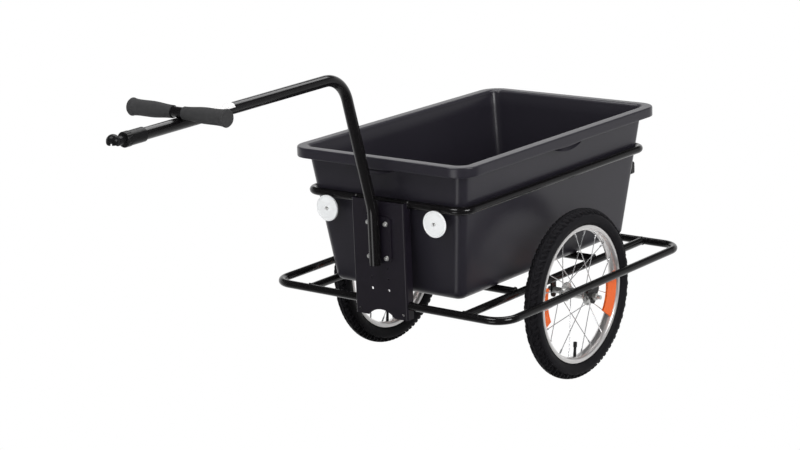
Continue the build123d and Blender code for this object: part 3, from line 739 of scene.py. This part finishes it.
def tread_height(c, s, period):
    """How much rubber stands on the casing, 0 to 1, at c round the wheel and s across, in mm.

    The rib is where |s - 1.5 * wave| < 3.4. Beyond a groove the blocks run out to an edge that
    steps between two lengths, cut every half period by grooves that slant forward with |s|.
    """
    out = np.abs(s)
    rib = smooth((3.4 - np.abs(s - 1.5 * wave(c / period))) / 1.1 + 0.5)
    half = period / 2
    slanted = (c - 0.62 * out + np.where(s > 0, 0, half / 2)) / half
    edge = 20.2 + 2.1 * np.where(np.floor(slanted) % 2 == 0, 1, -1)
    cut = np.abs((slanted % 1.0) - 0.5) * half
    block = smooth((out - 5.2) / 1.1 + 0.5) * smooth((edge - out) / 1.3 + 0.5)
    block *= smooth((half / 2 - 2.1 - cut) / 1.1 + 0.5)
    sipe = 1 - 0.45 * smooth((0.7 - np.abs(cut - half / 5)) / 0.6 + 0.5) * (out > 7)
    return np.maximum(rib, block * sipe)


# %% The tyre round its section
def ring_line(q, degrees, width):
    """A moulded line on the sidewall: exp(-((|q| - where) / width)^2), in degrees."""
    return np.exp(-((np.degrees(np.abs(q)) - degrees) / width) ** 2)


def tyre_surface(round_steps, tread_steps):
    """The tyre's closed surface: section angle across, wheel angle round.

    A point is (section_radius + r cos q) out from the axle and r sin q aside, where r is the
    casing plus the tread's height. The blocks stand deeper at the shoulder than in the middle.
    """
    tread = np.radians(np.linspace(-66, 66, tread_steps))
    wall = np.radians([-141, -138, -133, -128, -124, -121, -117, -108, -98, -88, -78, -71])
    q = np.concatenate([wall, tread, -wall[::-1]])
    t = full_turn(round_steps)[:, None]
    depth = (2.4 + 1.9 * smooth((np.abs(q) - 0.55) / 0.30)) * mm
    under_tread = smooth((np.radians(74) - np.abs(q)) / 0.40)
    casing = tyre_half - 0.2 * mm - depth * under_tread
    lines = 0.35 * mm * (ring_line(q, 122.5, 2.2) + ring_line(q, 98, 2.0))
    period = 2 * np.pi * tyre_outer / mm / tread_periods
    height = tread_height(t * tyre_outer / mm, q * tyre_half / mm, period)
    r = casing + lines + 0 * t + (depth + 0.4 * mm) * height
    r = np.minimum(r, tyre_half + 0.6 * mm * np.abs(np.sin(q)))
    # the bead, which closes the surface against the rim
    bead_out = np.array([159.6, 158.7, 158.7, 158.7, 158.7, 159.6]) * mm
    bead_aside = np.array([13.6, 12.9, 10, -10, -12.9, -13.6]) * mm
    out = np.concatenate([section_radius + r * np.cos(q), bead_out + 0 * t], axis=1)
    aside = np.concatenate([r * np.sin(q), bead_aside + 0 * t], axis=1)
    points = np.stack([out * np.cos(t), wheel_y + aside, axle_height + out * np.sin(t)], axis=-1)
    return grid(points, True, True)


def on_wheel(shape, side):
    """A shape of the left wheel, or moved over to the right: y changes its sign and is shifted."""
    points, quads = shape
    return (points if side == "left" else points * [1, -1, 1] + [0, right_wheel_shift, 0]), quads


tyre_shape = tyre_surface(800, 91)
for side in ("left", "right"):
    make_piece(side + "_knobbly_tyre", on_wheel(tyre_shape, side), tyre_rubber, side + "_tyre",
               side + "_wheel", crease=60)

# %% [markdown]
# ## Rims, hubs and spokes
# A rim is rolled from one alloy section, so it is that section spun about the axle, and so is
# the hub. The spokes are laced in crossing pairs: each leaves the hub ahead of or behind the
# hole it is screwed to in the rim. One path does for a spoke: its head behind the flange, the
# bend, the long straight run, and a nipple, which is only a thicker stretch at the rim.

# %% Spun shapes
def symmetric(half):
    """A closed profile from its outboard half, which starts and ends in the middle plane."""
    return half + [(radius, -offset) for radius, offset in half[::-1][1:]]


wheel_centre = np.array([0, wheel_y, axle_height])
rim_profile = symmetric([
    (146, 0), (146, 5.2), (146.5, 6.8), (149.6, 12.2), (150.6, 13.2), (152, 13.5),
    (157.8, 13.5), (158.6, 13.2), (158.6, 11.8), (157.8, 11.5), (153.6, 11.5), (153, 10.8),
    (153, 0)])
hub_profile = symmetric([
    (11, 0), (11, 22), (12.5, 27.5), (22, 28.5), (22.5, 29.1), (22.5, 30.9),
    (22, 31.5), (11.5, 31.9), (11, 32.2), (8.5, 32.4), (8.5, 35.5), (8, 36),
    (4.85, 36), (4.85, 0)])
rim_shape = turned(rim_profile, wheel_centre, (0, 1, 0), 240)
hub_shape = turned(hub_profile, wheel_centre, (0, 1, 0), 48)
print("rim", 2 * rim_profile[7][0], "mm across, hub flanges", 2 * hub_profile[4][0], "mm")


# %% Laced spokes
def wheel_point(radius, angle, offset):
    """radius * (cos, sin) from the axle, and offset outboard, all in millimetres and degrees."""
    a = np.radians(angle)
    return wheel_centre + np.stack([radius * np.cos(a), offset + 0 * a,
                                    radius * np.sin(a)], axis=-1) * mm


# angles in degrees, radii in millimetres
spoke_count, first_spoke, lean = 20, 14.7, 60.0
flange_circle, rim_bed = 18.5, 145.6


def spoke_path(index):
    """Head, bend, run and nipple of one spoke, and the radius at each point.

    It leaves its flange lean degrees ahead of or behind its hole in the rim, outside or inside
    the flange by turns, and the points of its run are given as distances from either end.
    """
    side = 1 if index % 2 == 0 else -1
    outside = (index // 2) % 2 == 0
    at_rim = first_spoke + 360 / spoke_count * index
    at_hub = at_rim + (lean if outside else -lean)
    head, bend = (27.6, 34.5) if outside else (32.4, 27.3)
    foot = wheel_point(flange_circle, np.array([at_hub, at_hub]), np.array([head, bend]) * side)
    run = wheel_point(rim_bed, at_rim, side) - foot[1]
    length = np.linalg.norm(run)
    near_hub = np.array([0, 2, 5, 12, 60, 100]) * mm / length
    near_rim = 1 - np.array([12.6, 12.5, 12, 0.6, 0.5, 0]) * mm / length
    shares = np.concatenate([near_hub, near_rim])
    path = np.concatenate([foot[:1], (foot[:1] + foot[1:]) / 2, foot[1] + shares[:, None] * run])
    radii = [1.7] + [1] * 8 + [1.9, 2, 2, 2.1, 1.2]
    return path, np.array(radii) * mm


across_no_spoke = (0.31, 0.87, 0.38)
spokes_shape = together([carried(path, radii, across_no_spoke, 8)
                         for path, radii in map(spoke_path, range(spoke_count))])
print(spoke_count, "spokes")

# %% Valve with its cap, and both wheels
valve_angle = -83.5
valve_profile = [(0, 34), (3.6, 34), (4.4, 33.2), (4.5, 22.5), (4, 21.6), (3.2, 21.2),
                 (3.2, 12), (3.6, 8), (3.6, 0), (0, 0)]
valve_foot = wheel_point(146, valve_angle, 0)
to_axle = wheel_centre - valve_foot
to_axle /= np.linalg.norm(to_axle)
valve_shape = turned(valve_profile, valve_foot, to_axle, 24, start=(0, 1, 0))

for side in ("left", "right"):
    for name, shape, finish, node in (
            ("_alloy_rim", rim_shape, rim_alloy, "_rim"),
            ("_spun_hub", hub_shape, zinc_steel, "_hub"),
            ("_laced_spokes", spokes_shape, spoke_steel, "_spokes"),
            ("_capped_valve", valve_shape, valve_black, "_valve")):
        make_piece(side + name, on_wheel(shape, side), finish, side + node, side + "_wheel")

# %% [markdown]
# ## Weld beads
# The frame is welded, and a weld shows as a small rippled rope in the corner between two tubes.
# Each bead is a round section carried along the line where the two surfaces meet, and its radius
# swells and shrinks a little with every drop the welder laid.

# %% Lines where tubes meet
tube = 9 * mm
weld_gap = 0.4 * mm
loop_low, loop_high = level_span("lower_loop")
loop_front, loop_rear = loop_high[0] - tube, loop_low[0] + tube
loop_height = (loop_low[2] + loop_high[2]) / 2
rail_y = level_box("left_rail")[0][1]


def bead(path, thickness=1.9, side=(0.3, 0.5, 0.8), closed=False):
    """A rippled bead along a path: its radius is thickness * (1 + 0.14 sin of the length)."""
    step = np.linalg.norm(np.diff(path, axis=0), axis=1)
    run = np.concatenate([[0], np.cumsum(step)]) / (2.6 * mm)
    radius = thickness * mm * (1 + 0.14 * np.sin(2 * np.pi * run))
    if not closed:
        radius[[0, -1]] *= 0.6
    return carried(path, radius, side, 8, closed)


def saddle(centre, along, across, small, large, offset=0.0):
    """Where a bar of radius small, running along, ends on a bar of radius large.

    The bar's own circle gives two coordinates; the third is how far the large bar's surface
    stands out there: sqrt(large^2 - height^2).
    """
    t = full_turn(56)
    side, height = small * np.cos(t), small * np.sin(t)
    out = np.sqrt(np.maximum(large ** 2 - (height + offset) ** 2, (0.8 * mm) ** 2))
    return (centre - out[:, None] * along + side[:, None] * across
            + height[:, None] * (0, 0, 1))


# %% Beads round the rails' and the cross tubes' ends
beads = []
on_tube = tube + 0.5 * mm
for side in (1, -1):
    for x_end, facing in ((loop_front, 1), (loop_rear, -1)):
        beads.append(bead(saddle((x_end, side * rail_y, loop_height), (facing, 0, 0), (0, 1, 0),
                                 tube, on_tube), side=(1, 0, 0), closed=True))
    for node in ("front_cross_tube", "rear_cross_tube"):
        middle, half = level_box(node)
        beads.append(bead(saddle((middle[0], side * rail_y, middle[2]), (0, side, 0), (1, 0, 0),
                                 half[2], on_tube, middle[2] - loop_height),
                          side=(0, 1, 0), closed=True))
print(len(beads), "beads round tubes")

# %% Beads along the bracket, the plates and the dropouts
bracket_low, bracket_high = level_span("drawbar_bracket")
ring_low, ring_high = level_span("tub_ring")
ring_height = (ring_low[2] + ring_high[2]) / 2
plate_edge = level_span("front_plate")[1][1] - 0.6 * mm
plate_tubes = [(loop_front, loop_height, -1), (ring_high[0] - tube, ring_height, 1),
               (loop_rear, loop_height, 1), (ring_low[0] + tube, ring_height, -1)]
bar_x, bar_y = bracket_high[0] + 1.6 * mm, 5.6 * mm
bar_ends = bracket_low[2] + 4 * mm, bracket_high[2] - 4 * mm
arc = np.radians(np.linspace(-80, 80, 24))
for side in (1, -1):
    foot, head = ((bar_x, side * bar_y, z) for z in bar_ends)
    beads.append(bead(np.linspace(foot, head, 40), 2.3))
    for x_tube, z_tube, facing in plate_tubes:
        line = np.stack([x_tube + facing * (tube + weld_gap) * np.cos(arc),
                         np.full(len(arc), side * plate_edge),
                         z_tube + (tube + weld_gap) * np.sin(arc)], axis=-1)
        beads.append(bead(line, 1.5, side=(0, 1, 0)))

for node in (*both("inner_dropout"), *both("outer_dropout")):
    low, high = level_span(node)
    down = math.sqrt(tube ** 2 - (0.5 * (high[1] - low[1]) + weld_gap) ** 2)
    for y in (low[1] - weld_gap, high[1] + weld_gap):
        start = (low[0] + 1.5 * mm, y, loop_height - down)
        end = (high[0] - 1.5 * mm, y, loop_height - down)
        beads.append(bead(np.linspace(start, end, 20), 1.3))
make_piece("weld_beads", together(beads), frame_paint)

# %% [markdown]
# ## Bolts
# Four zinc bolts hold the drawbar's bracket to the plate. A hexagon head is a cone cut by six
# flats; as a formula, the radius in a direction is the flat's distance divided by the cosine of
# the angle from the nearest flat, never more than the cone allows. A turned washer lies under
# each head.

# %% Heads and washers
def ringed(centre, along, offsets, radii):
    """Rings across a line from one grid of radii: centre + offset * along + radius * direction."""
    ring = directions_round(along, (0, 1, 0), radii.shape[1])
    return grid(centre + offsets[:, None, None] * along + radii[..., None] * ring, False, True)


def hexagon_head(centre, along, flats, height, steps=48):
    """Rings from the seat to the top: radius = min(flats / 2 / cos(angle), cone)."""
    nearest = (full_turn(steps) + np.pi / 6) % (np.pi / 3) - np.pi / 6
    hexagon = flats / 2 / np.cos(nearest)
    levels = np.array([0, 0, 0.72, 0.86, 0.96, 1, 1]) * height
    cones = np.array([0, 2, 2, 1.125, 1.045, 0.94, 0]) * flats / 2
    return ringed(centre, along, levels, np.minimum(hexagon, cones[:, None]))


ahead = (1, 0, 0)
washer_top = 1.2
washer = [(0, 0), (5.6, 0), (5.8, 0.3), (5.6, washer_top), (0, washer_top)]
bolts = []
for z_bolt in bracket_low[2] + np.array([6, 84]) * mm:
    for y_bolt in (24 * mm, -24 * mm):
        seat = np.array([bracket_high[0], y_bolt, z_bolt])
        bolts.append(turned(washer, seat, ahead, 32))
        bolts.append(hexagon_head(seat + [washer_top * mm, 0, 0], ahead, 8.6 * mm, 4.2 * mm))
make_piece("bracket_bolts", together(bolts), zinc_steel)

# %% [markdown]
# ## Hitch collar
# The collar that locks the coupling is knurled, so that a wet hand can turn it. Its radius is a
# ring of rounded ribs between two smooth shoulders.

# %% A knurled collar
collar_middle, collar_half = level_box("hitch_collar")
sleeve_middle = level_box("hitch_sleeve")[0]
run_along = collar_middle - sleeve_middle
run_along /= np.linalg.norm(run_along)


def knurled(centre, along, radius, length, ribs=14, steps=224):
    """Rings along the collar: radius * profile - depth * (1 - |sin(ribs * t / 2)|^0.6)."""
    t = full_turn(steps)
    share = np.array([0, 0, 0.03, 0.1, 0.14, 0.2, 0.5, 0.8, 0.86, 0.9, 0.97, 1, 1])
    profile = np.array([0, 0.9, 0.97, 1, 1, 1, 1, 1, 1, 1, 0.97, 0.9, 0])
    between_shoulders = smooth((0.33 - np.abs(share - 0.5)) / 0.05)
    cut = 1.1 * mm * (1 - np.abs(np.sin(ribs * t / 2)) ** 0.6)
    radii = radius * profile[:, None] - between_shoulders[:, None] * cut
    return ringed(centre, along, (share - 0.5) * length, radii)


make_piece("knurled_collar", knurled(collar_middle, run_along, collar_half[1], 15 * mm),
           coupling_black, "hitch_collar")

# %% [markdown]
# ## Round reflectors, rear lenses and the sticker
# The round reflectors are discs with a raised bezel, held by one screw in the middle, so they are
# spun. The rear ones are dark housings with a red lens set into the back. The sticker wraps over
# the top of the drawbar: a strip of a slightly larger cylinder, with its own thin edge.

# %% Discs and lenses
def bevelled_lens(low, high, frame_width=2.5 * mm, corner=4 * mm):
    """A lens set into the back of a housing: rounded rectangles that shrink as they stand out."""
    middle, half = (low + high) / 2, (high - low) / 2 - frame_width
    depth = np.array([1.5, 1.5, -0.6, -1.6, -2, -2]) * mm
    inset = np.array([60, 0, 0, 0.6, 2, 60]) * mm
    sizes = [np.maximum(size - inset, 0.0) for size in (half[1], half[2], corner)]
    y, z = round_rectangle(*sizes, *[np.linspace(0.9, -0.9, 5)] * 2, 8)
    x = (low[0] + depth)[:, None] + 0 * y
    return grid(np.stack([x, middle[1] + y, middle[2] + z], axis=-1), False, True)


screw = [(0, 4.6), (3.6, 4.6), (4, 5.2), (3.6, 6.2), (2.2, 6.9), (1.4, 6.9), (1.2, 6.2),
         (0, 6.2)]
for side in ("left", "right"):
    low, high = level_span(side + "_front_reflector")
    r = (high[1] - low[1]) / 2 / mm
    disc = [(0, 0), (r - 1.5, 0), (r - 0.4, 0.6), (r, 1.6), (r, 4.4), (r - 0.5, 5.5),
            (r - 1.6, 6), (r - 2.8, 5.8), (r - 3.4, 5), (r * 0.6, 5.4), (r * 0.3, 5.6),
            (5, 5.7), (4.6, 5), (0, 5)]
    seat = (low + high) / 2
    seat[0] = low[0]
    make_piece(side + "_round_lens", turned(disc, seat, ahead, 96), white_reflector,
               side + "_front_reflector")
    make_piece(side + "_lens_screw", turned(screw, seat, ahead, 24), zinc_steel)
    make_piece(side + "_red_lens", bevelled_lens(*level_span(side + "_rear_reflector")),
               red_reflector)

# %% Sticker
bar_radius = level_box("drawbar")[1][1]
sticker_from, sticker_to = 0.807, 0.879
slope = run_along[2] / run_along[0]
t = np.linspace(-1.25, 1.25, 25)
x_run = np.array([sticker_from, sticker_from + 1e-5, sticker_to - 1e-5, sticker_to])[:, None]
centre_z = sleeve_middle[2] + slope * (x_run - sleeve_middle[0])


def foil(radius):
    """A good third of a cylinder round the drawbar: aside radius * sin t, above radius * cos t."""
    return np.stack([x_run + 0 * t, radius * np.sin(t) + 0 * x_run,
                     centre_z + radius * np.cos(t)], axis=-1)


outer, inner = foil(bar_radius + 0.35 * mm), foil(bar_radius + 0.10 * mm)
wrap = grid(np.concatenate([outer, inner[:, ::-1]], axis=1), False, True)
ends = [grid(end) for end in np.stack([outer[[0, -1]], inner[[0, -1]]], axis=1)]
make_piece("drawbar_sticker", together([wrap] + ends), sticker_white)
